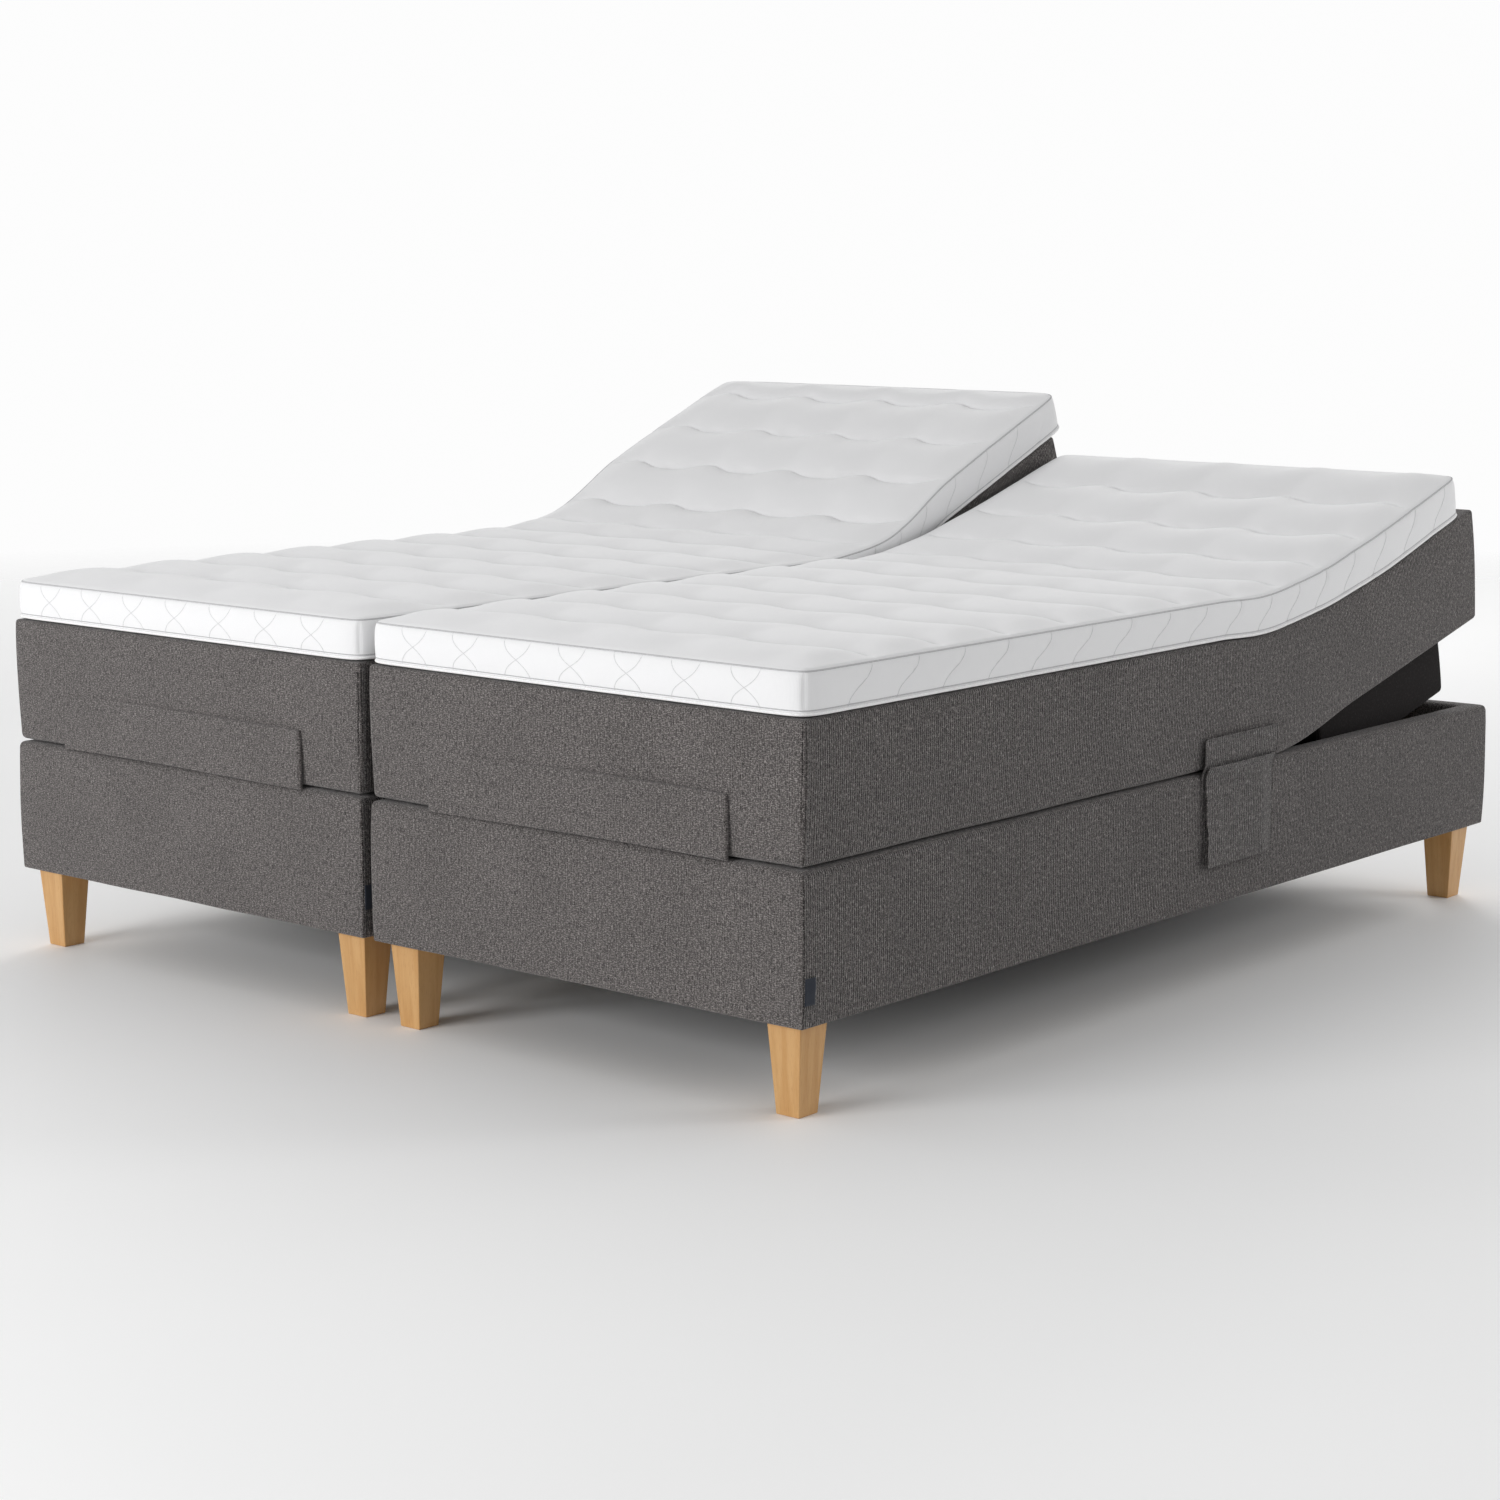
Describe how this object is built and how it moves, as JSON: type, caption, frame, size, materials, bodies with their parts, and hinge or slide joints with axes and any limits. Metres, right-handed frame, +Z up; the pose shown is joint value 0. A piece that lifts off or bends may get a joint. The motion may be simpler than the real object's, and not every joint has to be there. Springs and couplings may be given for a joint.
{
  "type": "double adjustable bed",
  "caption": "Side-by-side motorised adjustable beds: upholstered plinths on tapered wooden legs, hinged upper sections with raised heads and quilted toppers.",
  "frame": {"origin": "on the floor, under the middle of the whole bed with its mattress retainers", "axes": "+X to the right-hand side seen from the foot end, +Y towards the head end, +Z up"},
  "size_m": [1.844, 2.116, 0.9534],
  "materials": {
    "plinth_fabric": "grey heather weave",
    "upper_fabric": "grey heather weave",
    "pocket_fabric": "grey heather weave",
    "underbox_fabric": "dark grey heather weave",
    "topper_fabric": "white quilted knit",
    "leg_wood": "clear lacquered light wood",
    "frame_wood": "raw softwood",
    "dust_cloth": "black non-woven on board",
    "black_steel": "black powder coat",
    "bright_steel": "zinc plated",
    "grey_plastic": "fine textured",
    "nylon": "natural nylon"
  },
  "bodies": {
    "root": {"left_plinth_cover": "plinth_fabric", "left_plinth_frame": "frame_wood", "left_corner_blocks": "frame_wood", "left_dust_cover": "dust_cloth", "left_legs": "leg_wood", "left_seat_frame": "black_steel", "left_hinge_pins": "bright_steel", "left_calf_guides": "black_steel", "left_control_box": "grey_plastic", "left_remote_pocket": "pocket_fabric", "left_head_motor": "grey_plastic", "left_foot_motor": "grey_plastic", "left_mattress_seat": "upper_fabric", "left_topper_seat": "topper_fabric", "right_plinth_cover": "plinth_fabric", "right_plinth_frame": "frame_wood", "right_corner_blocks": "frame_wood", "right_dust_cover": "dust_cloth", "right_legs": "leg_wood", "right_seat_frame": "black_steel", "right_hinge_pins": "bright_steel", "right_calf_guides": "black_steel", "right_control_box": "grey_plastic", "right_remote_pocket": "pocket_fabric", "right_head_motor": "grey_plastic", "right_foot_motor": "grey_plastic", "right_mattress_seat": "upper_fabric", "right_topper_seat": "topper_fabric", "leg_bolts": "bright_steel", "bed_connectors": "bright_steel"},
    "left_head": {"left_head_frame": "black_steel", "left_head_underbox": "underbox_fabric", "left_mattress_head": "upper_fabric", "left_topper_head": "topper_fabric"},
    "left_thigh": {"left_thigh_frame": "black_steel", "left_knee_pins": "bright_steel", "left_mattress_thigh": "upper_fabric", "left_topper_thigh": "topper_fabric"},
    "left_calf": {"left_calf_frame": "black_steel", "left_calf_rollers": "nylon", "left_mattress_calf": "upper_fabric", "left_topper_calf": "topper_fabric", "left_mattress_retainer": "pocket_fabric"},
    "left_head_rod": {"left_head_motor_rod": "bright_steel"},
    "left_foot_rod": {"left_foot_motor_rod": "bright_steel"},
    "right_head": {"right_head_frame": "black_steel", "right_head_underbox": "underbox_fabric", "right_mattress_head": "upper_fabric", "right_topper_head": "topper_fabric"},
    "right_thigh": {"right_thigh_frame": "black_steel", "right_knee_pins": "bright_steel", "right_mattress_thigh": "upper_fabric", "right_topper_thigh": "topper_fabric"},
    "right_calf": {"right_calf_frame": "black_steel", "right_calf_rollers": "nylon", "right_mattress_calf": "upper_fabric", "right_topper_calf": "topper_fabric", "right_mattress_retainer": "pocket_fabric"},
    "right_head_rod": {"right_head_motor_rod": "bright_steel"},
    "right_foot_rod": {"right_foot_motor_rod": "bright_steel"}
  },
  "joints": [
    {"name": "left_head_hinge", "type": "hinge", "parent": "root", "child": "left_head", "pos_m": [-0.461, 0.308, 0.364], "axis": [1, 0, 0], "range_deg": [-22.5, 27.5], "deforming": ["left_mattress_seat", "left_topper_seat"]},
    {"name": "left_thigh_hinge", "type": "hinge", "parent": "root", "child": "left_thigh", "pos_m": [-0.461, 0.008, 0.364], "axis": [-1, 0, 0], "range_deg": [0, 32], "deforming": ["left_mattress_seat", "left_topper_seat"]},
    {"name": "left_knee_hinge", "type": "hinge", "parent": "left_thigh", "child": "left_calf", "pos_m": [-0.461, -0.412, 0.364], "axis": [-1, 0, 0], "range_deg": [-50, 0]},
    {"name": "left_head_rod_slide", "type": "slide", "parent": "root", "child": "left_head_rod", "axis": [0, 1, 0], "range_m": [-0.041, 0.0501]},
    {"name": "left_foot_rod_slide", "type": "slide", "parent": "root", "child": "left_foot_rod", "axis": [0, -1, 0], "range_m": [0, 0.0583]},
    {"name": "right_head_hinge", "type": "hinge", "parent": "root", "child": "right_head", "pos_m": [0.461, 0.308, 0.364], "axis": [1, 0, 0], "range_deg": [-13.5, 36.5], "deforming": ["right_mattress_seat", "right_topper_seat"]},
    {"name": "right_thigh_hinge", "type": "hinge", "parent": "root", "child": "right_thigh", "pos_m": [0.461, 0.008, 0.364], "axis": [-1, 0, 0], "range_deg": [0, 32], "deforming": ["right_mattress_seat", "right_topper_seat"]},
    {"name": "right_knee_hinge", "type": "hinge", "parent": "right_thigh", "child": "right_calf", "pos_m": [0.461, -0.412, 0.364], "axis": [-1, 0, 0], "range_deg": [-50, 0]},
    {"name": "right_head_rod_slide", "type": "slide", "parent": "root", "child": "right_head_rod", "axis": [0, 1, 0], "range_m": [-0.0247, 0.0665]},
    {"name": "right_foot_rod_slide", "type": "slide", "parent": "root", "child": "right_foot_rod", "axis": [0, -1, 0], "range_m": [0, 0.0583]}
  ],
  "couplings": [
    {"joint": "left_head_rod_slide", "follows": "left_head_hinge", "m_per_rad": 0.104},
    {"joint": "left_knee_hinge", "follows": "left_thigh_hinge", "ratio": -1.55},
    {"joint": "left_foot_rod_slide", "follows": "left_thigh_hinge", "m_per_rad": 0.104},
    {"joint": "right_head_rod_slide", "follows": "right_head_hinge", "m_per_rad": 0.104},
    {"joint": "right_knee_hinge", "follows": "right_thigh_hinge", "ratio": -1.55},
    {"joint": "right_foot_rod_slide", "follows": "right_thigh_hinge", "m_per_rad": 0.104}
  ]
}
